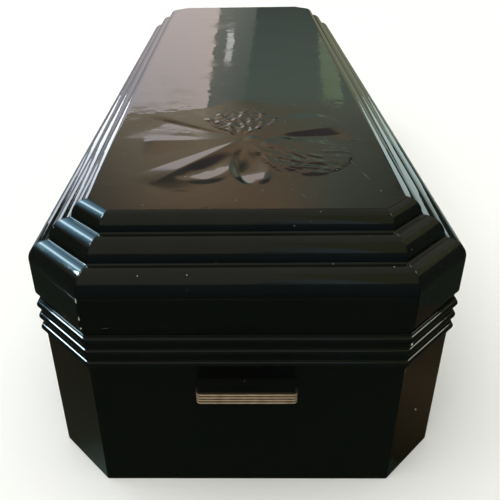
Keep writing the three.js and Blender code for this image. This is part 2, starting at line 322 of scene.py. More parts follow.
def sweep(section, stations):
    """Vertices and faces of a closed section carried through stations of a plan point and its inward way"""
    vertices = []
    for at, inward in stations:
        for inset, height in section:
            vertices.append((at[0] + inward[0] * inset, at[1] + inward[1] * inset, height))
    count = len(section)
    faces = []
    for station in range(len(stations) - 1):
        faces += ring_faces(count, station * count)
    faces.append(tuple(range(count)))
    faces.append(tuple(range(len(vertices) - 1, len(vertices) - count - 1, -1)))
    return vertices, faces


def mitred_rail(section, run):
    """A length of board or moulding with both ends cut on the mitre"""
    end = run / 2 - JOINT_GAP / 2
    return sweep(section, [((-end, 0), (MITRE, 1)), ((end, 0), (-MITRE, 1))])


def make_mesh(name, vertices, faces, place=None):
    """A smooth mesh with its faces turned outwards"""
    mesh = bpy.data.meshes.new(name)
    mesh.from_pydata(vertices, [], faces)
    if place is not None:
        mesh.transform(place)
    work = bmesh.new()
    work.from_mesh(mesh)
    bmesh.ops.recalc_face_normals(work, faces=work.faces)
    work.to_mesh(mesh)
    work.free()
    mesh.shade_smooth()
    return mesh


def add_piece(mesh, finish, slot, *nodes):
    """Puts a mesh on the coffin as a piece that stands for its CAD nodes"""
    piece = bpy.data.objects.new(mesh.name, mesh)
    bpy.context.scene.collection.objects.link(piece)
    mesh.materials.append(finish)
    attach(piece, "root")
    if nodes:
        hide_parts(*nodes)
    return piece


def soften(piece, width, limit="ANGLE"):
    """Rounds the arrises as thick lacquer does and keeps the flats even"""
    bevel = piece.modifiers.new("soft_arris", "BEVEL")
    bevel.width = width
    bevel.segments = ARRIS_SEGMENTS
    bevel.limit_method = limit
    bevel.angle_limit = math.radians(ARRIS_ANGLE)
    shading = piece.modifiers.new("even_flats", "WEIGHTED_NORMAL")
    shading.keep_sharp = True


def add_rails(name, node, section, body, finish):
    """One mitred length of the section on each of the eight sides"""
    for side in plan_sides(body):
        vertices, faces = mitred_rail(section, side.run)
        mesh = make_mesh(f"{name}_{side.name}", vertices, faces, side.place)
        piece = add_piece(mesh, finish, LACQUER_SLOT, f"{node}_{side.name}")
        soften(piece, body.edge_softness)


# The carved flower. Sizes are in millimetres on the panel, and turns are in degrees from +X.

HEART = (-4, -592)
CARVING_CENTRE = (-10, -590)
CARVING_SIZE = 500
CARVING_FADE = 12

# A fold is a crease that runs out from the heart and grows towards its tip. One with a rise below 0 is a
# groove. Its flanks spread to the left and to the right, and a curl over 1 hollows a flank. A growth over
# 1 keeps it low near the heart. The tip is the share of its reach over which it ends.
Fold = namedtuple("Fold", "turn reach rise growth left right curl_left curl_right tip")
FOLDS = (
    Fold(147, 260, -2.6, 1, 160, 25, 1.0, 1.2, 0.3),
    Fold(-176, 204, 3.8, 2.6, 90, 46, 1.4, 2.2, 0.16),
    Fold(-126, 276, 5.4, 1, 88, 58, 1.4, 1.0, 0.32),
)

# A petal has a rounded outline, which widens over a blunt share of its reach. A start is the range of its
# reach over which a form sets in, and an edge is the range from its outline to its middle, all as shares.
Petal = namedtuple("Petal", "turn reach half_width blunt")
SMOOTH_PETAL = Petal(31, 226, 70, 0.72)
CRINKLED_PETAL = Petal(-39, 234, 96, 0.72)
STAMEN_BED = Petal(86, 190, 92, 0.6)
PETAL_FULLNESS = 0.8
PETAL_RISE = 0.6
PETAL_START = (0, 0.3)
SMOOTH_EDGE = (0, 0.7)
CRINKLED_EDGE = (0, 0.3)
BED_START = (0.05, 0.25)
BED_EDGE = (0, 0.5)

# Waves of a crinkled surface have a rise and a size from crest to crest.
Waves = namedtuple("Waves", "rise size")
PETAL_WAVES = Waves(0.9, 36)
PETAL_RIPPLES = Waves(0.28, 17)
BED_WAVES = Waves(0.32, 26)
BED_RIPPLES = Waves(0.12, 13)

# Veins fan out over the crinkled petal, and its crinkles grow lower across it, down to a far share.
VEIN_STEP = 7
VEIN_RISE = 0.4
VEIN_BENDS = (19, 11)
CRINKLE_START = (0.2, 0.6)
CRINKLE_FADE = (40, -40)
FAR_CRINKLE = 0.25

# A sunk petal goes down into the panel beside the last fold, leans to one side and curls up at its tip.
Sunk = namedtuple("Sunk", "petal depth lean")
SUNK_PETALS = (
    Sunk(Petal(-116, 230, 62, 0.74), 3.6, 0.09),
    Sunk(Petal(-84, 222, 38, 0.72), 3.9, 0.14),
)
SUNK_CLEARANCE = 40
SUNK_EDGE = (0, 0.45)
SINK_START = (0.1, 0.7)
SINK_END = (0.7, 0.97)
LEAN_START = (0.4, 0.75)
LEAN_END = (0.9, 1)

# The smooth petal dips under the crinkled one along a crease.
DIP_TURN = 18
DIP_REACH = 228
DIP_SLOPE = 0.13
DIP_SPREAD = 0.2
DIP_START = (0.25, 0.5)
DIP_END = (0.7, 1)

# Long and short stamens take turns across a fan. Each filament bends from side to side.
STAMEN_COUNT = 9
STAMEN_FAN = (55, 125)
STAMEN_REACH = (70, 85)
STAMEN_START = (0.1, 0.4)
SHORT_STAMEN = 0.5
FILAMENT_HALF_WIDTH = 6
FILAMENT_RISE = 0.9
FILAMENT_BEND = 4
FILAMENT_WAVE = 13
FILAMENT_SHIFT = 2.1
ANTHER_RADII = (11, 7)
ANTHER_RISE = 1.3

Bud = namedtuple("Bud", "x y radius rise")
BUDS = (Bud(55, -626, 26, 1.3), Bud(19, -597, 20, 1.0))


def smooth(start, end, value):
    """Eases from 0 at the start to 1 at the end"""
    share = np.clip((value - start) / (end - start), 0, 1)
    return share * share * (3 - 2 * share)


def swell(start, end, value):
    """Eases up to 1 over one range and back to 0 over another"""
    return smooth(*start, value) * (1 - smooth(*end, value))


def dome(away):
    """Height of a round dome at a share of its radius"""
    return np.clip(1 - away * away, 0, 1)


def crinkle(waves, along, across):
    """Uneven waves about their size apart. The odd factors keep their crests from lining up."""
    along = along * 2 * math.pi / waves.size
    across = across * 2 * math.pi / waves.size
    bent = along + 1.9 * np.sin(0.53 * across + 0.7) + 1.1 * np.sin(0.31 * along)
    return waves.rise * np.sin(bent) * np.sin(0.71 * across + 1.3 * np.sin(0.47 * along))


def on_arm(turn, x, y):
    """Distances along and across an arm that leaves the heart at a turn"""
    angle = math.radians(turn)
    dx = x - HEART[0]
    dy = y - HEART[1]
    along = dx * math.cos(angle) + dy * math.sin(angle)
    across = dy * math.cos(angle) - dx * math.sin(angle)
    return along, across


def fold_height(fold, x, y):
    """Height of a fold, or depth of a groove"""
    along, across = on_arm(fold.turn, x, y)
    share = np.clip(along / fold.reach, 1e-3, 1)
    spread = np.where(across > 0, fold.left, fold.right) * share
    flank = np.clip(1 - np.abs(across) / spread, 0, 1)
    shape = np.where(across > 0, flank**fold.curl_left, flank**fold.curl_right)
    crest = fold.rise * share**fold.growth * (1 - smooth(1 - fold.tip, 1, share))
    return np.where(along > 0, crest * shape, 0)


def on_petal(petal, x, y):
    """Share from the outline to the middle, share of the reach, and distances along and across a petal"""
    along, across = on_arm(petal.turn, x, y)
    share = np.clip(along / petal.reach, 1e-3, 1 - 1e-3)
    spread = np.sin(math.pi / 2 * np.minimum(1, share / petal.blunt)) ** PETAL_FULLNESS
    tip = np.maximum(0, (share - petal.blunt) / (1 - petal.blunt))
    side = np.abs(across) / (petal.half_width * spread * np.sqrt(1 - tip * tip))
    inside = (along > 0) & (along < petal.reach)
    return np.where(inside, np.clip(1 - side, 0, 1), 0), share, along, across


def add_smooth_petal(height, x, y):
    """A flat petal and the facet where it dips out of sight"""
    edge, share, _, _ = on_petal(SMOOTH_PETAL, x, y)
    height = np.maximum(height, PETAL_RISE * smooth(*SMOOTH_EDGE, edge) * smooth(*PETAL_START, share))
    along, across = on_arm(DIP_TURN, x, y)
    depth = DIP_SLOPE * np.clip(-across, 0, DIP_SPREAD * np.maximum(along, 0))
    near = across > -2 * DIP_SPREAD * along
    return height - np.where(near, depth * swell(DIP_START, DIP_END, along / DIP_REACH), 0)


def add_crinkled_petal(height, x, y):
    """A petal with veins that fan out and crinkles between them"""
    edge, share, along, across = on_petal(CRINKLED_PETAL, x, y)
    fan = np.degrees(np.arctan2(across, np.maximum(along, 1))) / VEIN_STEP
    bend = np.sin(along / VEIN_BENDS[0]) + np.sin(across / VEIN_BENDS[1])
    vein = VEIN_RISE * (1 - np.abs(np.sin(math.pi * fan + bend)))
    crinkles = crinkle(PETAL_WAVES, across, along / 2) + crinkle(PETAL_RIPPLES, across, along)
    near = FAR_CRINKLE + (1 - FAR_CRINKLE) * smooth(*CRINKLE_FADE, across)
    plate = PETAL_RISE * smooth(*PETAL_START, share)
    plate = plate + smooth(*CRINKLE_START, share) * (vein + near * crinkles)
    cover = smooth(*CRINKLED_EDGE, edge)
    return height * (1 - cover) + plate * cover


def add_sunk_petal(height, sunk, x, y):
    """A petal that curls down into the panel, kept clear of the last fold's crest"""
    edge, share, _, across = on_petal(sunk.petal, x, y)
    lean = sunk.lean * across * swell(LEAN_START, LEAN_END, share)
    sink = sunk.depth * swell(SINK_START, SINK_END, share)
    beside = smooth(0, SUNK_CLEARANCE, on_arm(FOLDS[-1].turn, x, y)[1])
    return height + beside * smooth(*SUNK_EDGE, edge) * (lean - sink)


def add_stamens(height, x, y):
    """Bent filaments that fan out over a crinkled bed and end in long anthers"""
    edge, share, along, across = on_petal(STAMEN_BED, x, y)
    crinkles = crinkle(BED_WAVES, along, across) + crinkle(BED_RIPPLES, across, along)
    height = height + smooth(*BED_EDGE, edge) * smooth(*BED_START, share) * crinkles
    for index in range(STAMEN_COUNT):
        place = index / (STAMEN_COUNT - 1)
        turn = STAMEN_FAN[0] + (STAMEN_FAN[1] - STAMEN_FAN[0]) * place
        length = 1 if index % 2 == 0 else SHORT_STAMEN
        reach = STAMEN_REACH[0] + STAMEN_REACH[1] * length * math.sin(math.pi / 2 * (place + 1 / 2))
        along, across = on_arm(turn, x, y)
        across = across + FILAMENT_BEND * np.sin(along / FILAMENT_WAVE + FILAMENT_SHIFT * index)
        filament = np.where(along < reach, FILAMENT_RISE * dome(across / FILAMENT_HALF_WIDTH), 0)
        anther = ANTHER_RISE * dome(np.hypot((along - reach) / ANTHER_RADII[0], across / ANTHER_RADII[1]))
        height = height + np.maximum(filament, anther) * smooth(*STAMEN_START, along / reach)
    return height


def flower_height(x, y):
    """Height of the carving over the panel"""
    height = add_smooth_petal(np.zeros_like(x), x, y)
    height = add_crinkled_petal(height, x, y)
    for fold in FOLDS:
        height = height + fold_height(fold, x, y)
    for sunk in SUNK_PETALS:
        height = add_sunk_petal(height, sunk, x, y)
    height = add_stamens(height, x, y)
    for bud in BUDS:
        cap = dome(np.hypot(x - bud.x, y - bud.y) / bud.radius)
        height = np.where(cap > 0, np.maximum(height, height / 2 + bud.rise * cap), height)
    return height


def soften_heights(height, spread):
    """Rounds a grid of heights by a bell curve, where spread is in cells"""
    reach = int(3 * spread) + 1
    steps = np.arange(-reach, reach + 1)
    bell = np.exp(-0.5 * (steps / spread) ** 2)
    bell /= bell.sum()
    for axis in (0, 1):
        height = np.apply_along_axis(np.convolve, axis, height, bell, mode="same")
    return height


def carving_grid(lid):
    """Points of the carved square as rows of x, y and height over the panel, in metres"""
    count = round(CARVING_SIZE * MM / lid.carving_cell)
    reach = CARVING_SIZE / 2
    x, y = np.meshgrid(
        np.linspace(CARVING_CENTRE[0] - reach, CARVING_CENTRE[0] + reach, count + 1),
        np.linspace(CARVING_CENTRE[1] - reach, CARVING_CENTRE[1] + reach, count + 1),
    )
    height = soften_heights(flower_height(x, y), lid.carving_softness / lid.carving_cell)
    edge = np.minimum(reach - np.abs(x - CARVING_CENTRE[0]), reach - np.abs(y - CARVING_CENTRE[1]))
    height = height * smooth(0, CARVING_FADE, edge)
    ceiling = (CAD_BOX[1].z - lid.panel_top) / MM
    return x * MM, y * MM, np.minimum(height, ceiling) * MM


def carved_panel(body, lid):
    """Mesh of the top board with its quarter-round edge and the carved flower"""
    radius = lid.panel_radius
    edge = [(lid.panel_inset, lid.panel_foot)]
    edge += arc((lid.panel_inset + radius, lid.panel_top - radius), (radius, radius), 180, 90, ROUND_STEPS)
    vertices = []
    for inset, height in edge:
        vertices += [(x, y, height) for x, y in octagon(body, inset)]
    first = len(vertices)
    rim = list(range(first - SIDES, first))
    faces = []
    for ring in range(len(edge) - 1):
        faces += ring_faces(SIDES, SIDES * ring)
    mitres = {frozenset((face[0], face[-1])) for face in faces}
    faces.append(tuple(range(SIDES)))
    x, y, height = carving_grid(lid)
    vertices += list(zip(x.ravel(), y.ravel(), (height + lid.panel_top).ravel()))
    rows = x.shape[0]
    point = first + np.arange(rows * rows).reshape(rows, rows)
    cells = np.stack([point[:-1, :-1], point[:-1, 1:], point[1:, 1:], point[1:, :-1]], axis=-1)
    faces += [tuple(cell) for cell in cells.reshape(-1, 4).tolist()]
    south, north = point[0].tolist(), point[-1].tolist()
    west, east = point[:, 0].tolist(), point[:, -1].tolist()
    faces.append((rim[0], rim[1], *reversed(south)))
    faces.append((rim[1], rim[2], rim[3], *reversed(east)))
    faces.append((rim[3], rim[4], rim[5], rim[6], *north))
    faces.append((rim[6], rim[7], rim[0], *west))
    mesh = make_mesh("carved_top", vertices, faces)
    weight = mesh.attributes.new("bevel_weight_edge", "FLOAT", "EDGE")
    for line in mesh.edges:
        if frozenset(line.vertices) in mitres:
            weight.data[line.index].value = 1.0
    return mesh


# Materials

# Sockets of a Mix node that blends two colours. Each of their names stands for several kinds of value.
MIX_FIRST = 6
MIX_SECOND = 7
MIX_RESULT = 2

# Share of the lacquer that the film of dust hides between the specks
DUST_FILM = 0.015


def add_node(tree, kind, output=None, inputs=None, **settings):
    """Adds a shader node with its settings, sets or links its inputs, and gives the output asked for"""
    node = tree.nodes.new(f"ShaderNode{kind}")
    for name, value in settings.items():
        setattr(node, name, value)
    for name, value in (inputs or {}).items():
        socket = node.inputs[name]
        if isinstance(value, bpy.types.NodeSocket):
            tree.links.new(value, socket)
        else:
            socket.default_value = value
    return None if output is None else node.outputs[output]


def new_material(name):
    """An empty material and its node tree"""
    material = bpy.data.materials.new(name)
    material.use_nodes = True
    material.node_tree.nodes.clear()
    return material, material.node_tree


def per(size):
    """Texture scale of a pattern that repeats at a size in millimetres"""
    return 1 / (size * MM)


def scaled(colour, share):
    """A linear colour made darker or brighter"""
    return tuple(share * part for part in colour[:3]) + (1.0,)


def lacquer_material(finish):
    # Polyurethane lacquer sprayed over filled wood and polished. It is near black with a mirror gloss.
    # Slow waves and ripples of the board under it bend reflections, a fine orange peel breaks them up,
    # hand marks dull it in patches, and a film of dust with specks in it lies on whatever faces up.
    material, tree = new_material(LACQUER)
    at = add_node(tree, "TexCoord", "Object")
    waves = add_node(tree, "TexNoise", "Fac", {"Vector": at, "Scale": per(110), "Detail": 1.0})
    ripples = add_node(tree, "TexNoise", "Fac", {"Vector": at, "Scale": per(42), "Detail": 2.0})
    peel = add_node(tree, "TexNoise", "Fac", {"Vector": at, "Scale": per(9), "Detail": 2.0})
    marks = add_node(tree, "TexNoise", "Fac", {"Vector": at, "Scale": per(70), "Detail": 5.0})
    wavy = add_node(tree, "Bump", "Normal", {"Height": waves, "Distance": 0.36 * MM})
    rippled = add_node(tree, "Bump", "Normal", {"Height": ripples, "Distance": 0.24 * MM, "Normal": wavy})
    peeled = add_node(tree, "Bump", "Normal", {"Height": peel, "Distance": 0.012 * MM, "Normal": rippled})
    cells = add_node(tree, "TexVoronoi", "Color", {"Vector": at, "Scale": per(15)})
    away = cells.node.outputs["Distance"]
    chance = add_node(tree, "SeparateColor", "Red", {"Color": cells})
    size = add_node(tree, "MapRange", "Result", {"Value": chance, "From Min": 0.4, "To Max": 0.065})
    speck = add_node(tree, "Math", "Value", {0: away, 1: size}, operation="LESS_THAN")
    facing = add_node(tree, "NewGeometry", "Normal")
    up = add_node(tree, "SeparateXYZ", "Z", {"Vector": facing})
    slopes = {"Value": up, "From Min": -0.2, "From Max": 0.9, "To Max": 0.8}
    lying = add_node(tree, "MapRange", "Result", slopes)
    film = add_node(tree, "Math", "Value", {0: marks, 1: DUST_FILM, 2: speck}, operation="MULTIPLY_ADD")
    dust = add_node(tree, "Math", "Value", {0: film, 1: lying}, operation="MULTIPLY")
    colours = {"Factor": dust, MIX_FIRST: finish.lacquer, MIX_SECOND: finish.dust}
    colour = add_node(tree, "Mix", MIX_RESULT, colours, data_type="RGBA")
    patches = {"Value": marks, "From Min": 0.4, "From Max": 0.72, "To Min": 0.015, "To Max": 0.12}
    dull = add_node(tree, "MapRange", "Result", patches)
    dusty = {0: dust, 1: 0.6, 2: dull}
    roughness = add_node(tree, "Math", "Value", dusty, operation="MULTIPLY_ADD", use_clamp=True)
    surface = {"Base Color": colour, "Roughness": roughness, "Normal": peeled, "IOR": 1.5}
    shader = add_node(tree, "BsdfPrincipled", "BSDF", surface)
    add_node(tree, "OutputMaterial", None, {"Surface": shader})
    return material


def brass_material(finish, handle):
    # Rolled brass strip, polished on the crests of its reeds and brown with tarnish in the grooves. Its
    # upward faces are coloured near black, which darkens its upper edge.
    material, tree = new_material(BRASS)
    at = add_node(tree, "TexCoord", "Object")
    height = add_node(tree, "SeparateXYZ", "Z", {"Vector": at})
    pitch = handle.height / handle.reed_count
    foot = handle.top - handle.height
    counted = {0: height, 1: 1 / pitch, 2: -foot / pitch}
    reeds = add_node(tree, "Math", "Value", counted, operation="MULTIPLY_ADD")
    swing = add_node(tree, "Math", "Value", {0: reeds, 1: 0.5}, operation="PINGPONG")
    cloud = add_node(tree, "TexNoise", "Fac", {"Vector": at, "Scale": per(14), "Detail": 4.0})
    mottled = add_node(tree, "Math", "Value", {0: cloud, 1: 0.3, 2: swing}, operation="MULTIPLY_ADD")
    crests = {"Value": mottled, "From Min": 0.28, "From Max": 0.6}
    polish = add_node(tree, "MapRange", "Result", crests, interpolation_type="SMOOTHSTEP")
    metals = {"Factor": polish, MIX_FIRST: finish.tarnish, MIX_SECOND: finish.brass}
    metal = add_node(tree, "Mix", MIX_RESULT, metals, data_type="RGBA")
    facing = add_node(tree, "NewGeometry", "Normal")
    up = add_node(tree, "SeparateXYZ", "Z", {"Vector": facing})
    # The strip's upward faces are darkened to the board's near black, so its top edge shows dark.
    darkening = add_node(tree, "MapRange", "Result", {"Value": up, "From Min": 0.85, "From Max": 0.98})
    colours = {"Factor": darkening, MIX_FIRST: metal, MIX_SECOND: finish.board}
    colour = add_node(tree, "Mix", MIX_RESULT, colours, data_type="RGBA")
    roughness = add_node(tree, "MapRange", "Result", {"Value": polish, "To Min": 0.6, "To Max": 0.3})
    surface = {"Base Color": colour, "Roughness": roughness, "Metallic": 0.5}
    shader = add_node(tree, "BsdfPrincipled", "BSDF", surface)
    add_node(tree, "OutputMaterial", None, {"Surface": shader})
    return material


def board_material(finish):
    # Pine board stained black and left without lacquer: matt, with grain lines along its length.
    material, tree = new_material(PINE)
    at = add_node(tree, "TexCoord", "Object")
    stretched = add_node(tree, "Mapping", "Vector", {"Vector": at, "Scale": (per(9), per(240), per(9))})
    grain = add_node(tree, "TexNoise", "Fac", {"Vector": stretched, "Scale": 1.0, "Detail": 4.0})
    tones = {"Factor": grain, MIX_FIRST: scaled(finish.board, 0.4), MIX_SECOND: finish.board}
    tone = add_node(tree, "Mix", MIX_RESULT, tones, data_type="RGBA")
    raised = add_node(tree, "Bump", "Normal", {"Height": grain, "Distance": 0.2 * MM})
    surface = {"Base Color": tone, "Roughness": 0.65, "Normal": raised}
    shader = add_node(tree, "BsdfPrincipled", "BSDF", surface)
    add_node(tree, "OutputMaterial", None, {"Surface": shader})
    return material


def powdery_material(name, colour):
    # Bare primer or rubbed lacquer: dull, pale and uneven where the gloss is broken.
    material, tree = new_material(name)
    at = add_node(tree, "TexCoord", "Object")
    grit = add_node(tree, "TexNoise", "Fac", {"Vector": at, "Scale": per(1.5), "Detail": 3.0})
    tones = {"Factor": grit, MIX_FIRST: scaled(colour, 0.6), MIX_SECOND: colour}
    tone = add_node(tree, "Mix", MIX_RESULT, tones, data_type="RGBA")
    shader = add_node(tree, "BsdfPrincipled", "BSDF", {"Base Color": tone, "Roughness": 0.8})
    add_node(tree, "OutputMaterial", None, {"Surface": shader})
    return material


def finish_named(name):
    """A material that an earlier step has made"""
    material = bpy.data.materials.get(name)
    if material is None:
        raise RuntimeError(f"the material {name} hasn't been made yet")
    return material


# Operators, in the order in which they run


class COFFIN_OT_finishes(bpy.types.Operator):
    """Makes the lacquer, brass and other finishes"""

    bl_idname = "coffin.finishes"
    bl_label = "Make Finishes"

    def execute(self, context):
        finish = context.scene.coffin_finish
        lacquer_material(finish)
        brass_material(finish, context.scene.coffin_handle)
        board_material(finish)
        powdery_material(PRIMER, finish.primer)
        powdery_material(RUB, finish.rub)
        return {"FINISHED"}


class COFFIN_OT_box(bpy.types.Operator):
    """Builds the bottom board and the eight wall boards"""

    bl_idname = "coffin.box"
    bl_label = "Build Box"

    def execute(self, context):
        body = context.scene.coffin_body
        inner = body.wall_inset + body.wall_thickness
        plan = octagon(body, inner + JOINT_GAP)
        mesh = make_mesh("base_board", *prism(plan, 0, body.board_thickness))
        board = add_piece(mesh, finish_named(PINE), LACQUER_SLOT, "bottom_board")
        soften(board, body.edge_softness)
        outer = body.wall_inset
        section = [(inner, 0), (outer, 0), (outer, body.wall_top), (inner, body.wall_top)]
        add_rails("wall", "body_wall", section, body, finish_named(LACQUER))
        return {"FINISHED"}


class COFFIN_OT_beads(bpy.types.Operator):
    """Builds the triple-bead moulding round the top of the walls"""

    bl_idname = "coffin.beads"
    bl_label = "Build Beads"

    def execute(self, context):
        body = context.scene.coffin_body
        back = body.wall_inset - JOINT_GAP
        face = back - body.band_thickness
        radii = (body.bead_projection, body.bead_half_height)
        margin = body.bead_half_height + body.band_margin
        section = [(back, body.bead_low - margin), (face, body.bead_low - margin)]
        for index in range(body.bead_count):
            centre = body.bead_low + index * body.bead_pitch
            section += arc((face, centre), radii, 270, 90, BEAD_STEPS)
        top = body.bead_low + (body.bead_count - 1) * body.bead_pitch + margin
        section += [(face, top), (back, top)]
        add_rails("beads", "bead_strip", section, body, finish_named(LACQUER))
        return {"FINISHED"}


class COFFIN_OT_lid(bpy.types.Operator):
    """Builds the lid's skirt, shoulder and middle tier"""

    bl_idname = "coffin.lid"
    bl_label = "Build Lid Rails"

    def execute(self, context):
        body = context.scene.coffin_body
        lid = context.scene.coffin_lid
        lacquer = finish_named(LACQUER)
        top = lid.shoulder_foot - JOINT_GAP
        radii = (body.wall_inset, lid.skirt_round)
        curve = arc((body.wall_inset, lid.seam + lid.skirt_round), radii, 270, 180, SKIRT_STEPS)
        skirt = [(lid.skirt_thickness, lid.seam)] + curve + [(0, top), (lid.skirt_thickness, top)]
        add_rails("skirt", "lid_skirt", skirt, body, lacquer)
        shoulder = round_topped(
            0,
            lid.shoulder_depth,
            lid.shoulder_foot,
            lid.shoulder_top,
            lid.shoulder_radius,
            lid.tier_inset,
            lid.cove,
        )
        add_rails("shoulder", "lid_shoulder", shoulder, body, lacquer)
        tier = round_topped(
            lid.tier_inset,
            lid.tier_depth,
            lid.tier_foot,
            lid.tier_top,
            lid.tier_radius,
            lid.panel_inset,
            lid.cove,
        )
        add_rails("tier", "lid_tier", tier, body, lacquer)
        return {"FINISHED"}


class COFFIN_OT_carving(bpy.types.Operator):
    """Builds the top panel with its carved flower"""

    bl_idname = "coffin.carving"
    bl_label = "Build Carved Panel"

    def execute(self, context):
        body = context.scene.coffin_body
        mesh = carved_panel(body, context.scene.coffin_lid)
        panel = add_piece(mesh, finish_named(LACQUER), LACQUER_SLOT, "lid_top_panel")
        soften(panel, body.edge_softness, "WEIGHT")
        return {"FINISHED"}


class COFFIN_OT_handles(bpy.types.Operator):
    """Builds the handle blocks with their reeded brass strips"""

    bl_idname = "coffin.handles"
    bl_label = "Build Handles"

    def strip_stations(self, handle, rebate):
        """Plan points of a strip's face, from one returned end round the front to the other"""
        radius = handle.corner_radius
        corner = handle.length / 2 - radius
        front = radius - handle.depth
        turns = [90 * i / STRIP_CORNER_STEPS for i in range(STRIP_CORNER_STEPS + 1)]
        stations = [(-corner, handle.strip_return - handle.depth, 180)]
        stations += [(-corner, front, 180 + turn) for turn in turns]
        stations += [(corner, front, 270 + turn) for turn in turns]
        stations.append((corner, handle.strip_return - handle.depth, 360))
        placed = []
        for x, y, angle in stations:
            out = (math.cos(math.radians(angle)), math.sin(math.radians(angle)))
            at = (x + out[0] * (radius - rebate), y + out[1] * (radius - rebate))
            placed.append((at, (-out[0], -out[1])))
        return placed

    def strip_section(self, handle):
        """A flat back and a row of half-round reeds"""
        reed = handle.height / handle.reed_count / 2
        foot = handle.top - handle.height
        section = [(handle.strip_thickness, foot)]
        for index in range(handle.reed_count):
            centre = foot + (2 * index + 1) * reed
            curve = arc((handle.reed_depth, centre), (handle.reed_depth, reed), 270, 90, REED_STEPS)
            section += curve if index == 0 else curve[1:]
        return section + [(handle.strip_thickness, handle.top)]

    def block(self, handle):
        """The lacquered block, rebated round its front for the strip"""
        rebate = handle.strip_thickness + JOINT_GAP
        wide = handle.length / 2
        shoulder = handle.strip_return + JOINT_GAP - handle.depth
        front = [at for at, _ in self.strip_stations(handle, rebate)][1:-1]
        plan = [(wide, 0), (-wide, 0), (-wide, shoulder), (rebate - wide, shoulder)]
        plan += front + [(wide - rebate, shoulder), (wide, shoulder)]
        return prism(plan, handle.top - handle.height, handle.top)

    def execute(self, context):
        body = context.scene.coffin_body
        handle = context.scene.coffin_handle
        lacquer = finish_named(LACQUER)
        brass = finish_named(BRASS)
        setback = body.wall_inset - JOINT_GAP
        block = self.block(handle)
        strip = sweep(self.strip_section(handle), self.strip_stations(handle, 0))
        for side in plan_sides(body):
            if side.name not in ("front", "right", "back", "left"):
                continue
            long_side = side.name in ("right", "left")
            for place in (-1, 0, 1) if long_side else (0,):
                name = f"{side.name}_{place + 2}" if long_side else side.name
                at = side.place @ Matrix.Translation((place * handle.spacing, setback, 0))
                grip_mesh = make_mesh(f"grip_{name}", *block, at)
                grip = add_piece(grip_mesh, lacquer, LACQUER_SLOT, f"handle_{name}")
                soften(grip, body.edge_softness)
                reed_mesh = make_mesh(f"reeds_{name}", *strip, at)
                reeds = add_piece(reed_mesh, brass, BRASS_SLOT, f"handle_strip_{name}")
                soften(reeds, handle.strip_softness)
        return {"FINISHED"}


# Chips and scratches are thin flakes from one point to another, in millimetres, each widest at a share of
# its length. Those on the flat of the lid lie just below its face.
Flake = namedtuple("Flake", "start end half_width")
WIDEST = 0.4
SCRATCH_HEIGHT = 516.7
CHIPS = (
    Flake((-260.8, -999.4, 407), (-260.8, -999.4, 418), 1.5),
    Flake((-260.8, -999.4, 374), (-260.8, -999.4, 383), 1.3),
    Flake((-261, -999.2, 357), (-259, -999.2, 363), 1.5),
    Flake((-262, -999.4, 359.5), (-164, -999.4, 359.5), 0.65),
    Flake((260.5, -1000.3, 323), (262.5, -1000.3, 330), 1.4),
    Flake((307, -945.6, 129), (310, -942.6, 123), 1.6),
)
SCRATCHES = (
    Flake((190, -692, SCRATCH_HEIGHT), (205, -750, SCRATCH_HEIGHT), 0.45),
    Flake((203, -744, SCRATCH_HEIGHT), (220, -818, SCRATCH_HEIGHT), 0.4),
    Flake((70, -818, SCRATCH_HEIGHT), (92, -846, SCRATCH_HEIGHT), 0.3),
    Flake((84, -838, SCRATCH_HEIGHT), (112, -878, SCRATCH_HEIGHT), 0.3),
    Flake((259.6, -994.2, 259), (260.6, -995, 272), 0.5),
)


class COFFIN_OT_wear(bpy.types.Operator):
    """Adds the chips and scratches in the lacquer"""

    bl_idname = "coffin.wear"
    bl_label = "Add Wear"

    def add_flakes(self, name, flakes, finish):
        """One piece that holds all flakes of a kind, each pointed at both ends"""
        vertices = []
        faces = []
        for flake in flakes:
            start = Vector(flake.start)
            end = Vector(flake.end)
            run = (end - start).normalized()
            across = run.orthogonal().normalized() * flake.half_width
            raised = run.cross(across)
            middle = start.lerp(end, WIDEST)
            first = len(vertices)
            points = [start, end, middle + across, middle + raised, middle - across, middle - raised]
            vertices += [point * MM for point in points]
            for i in range(4):
                side = first + 2 + i
                after = first + 2 + (i + 1) % 4
                faces += [(first, side, after), (first + 1, after, side)]
        add_piece(make_mesh(name, vertices, faces), finish, LACQUER_SLOT)

    def execute(self, context):
        self.add_flakes("chips", CHIPS, finish_named(PRIMER))
        self.add_flakes("scratches", SCRATCHES, finish_named(RUB))
        return {"FINISHED"}


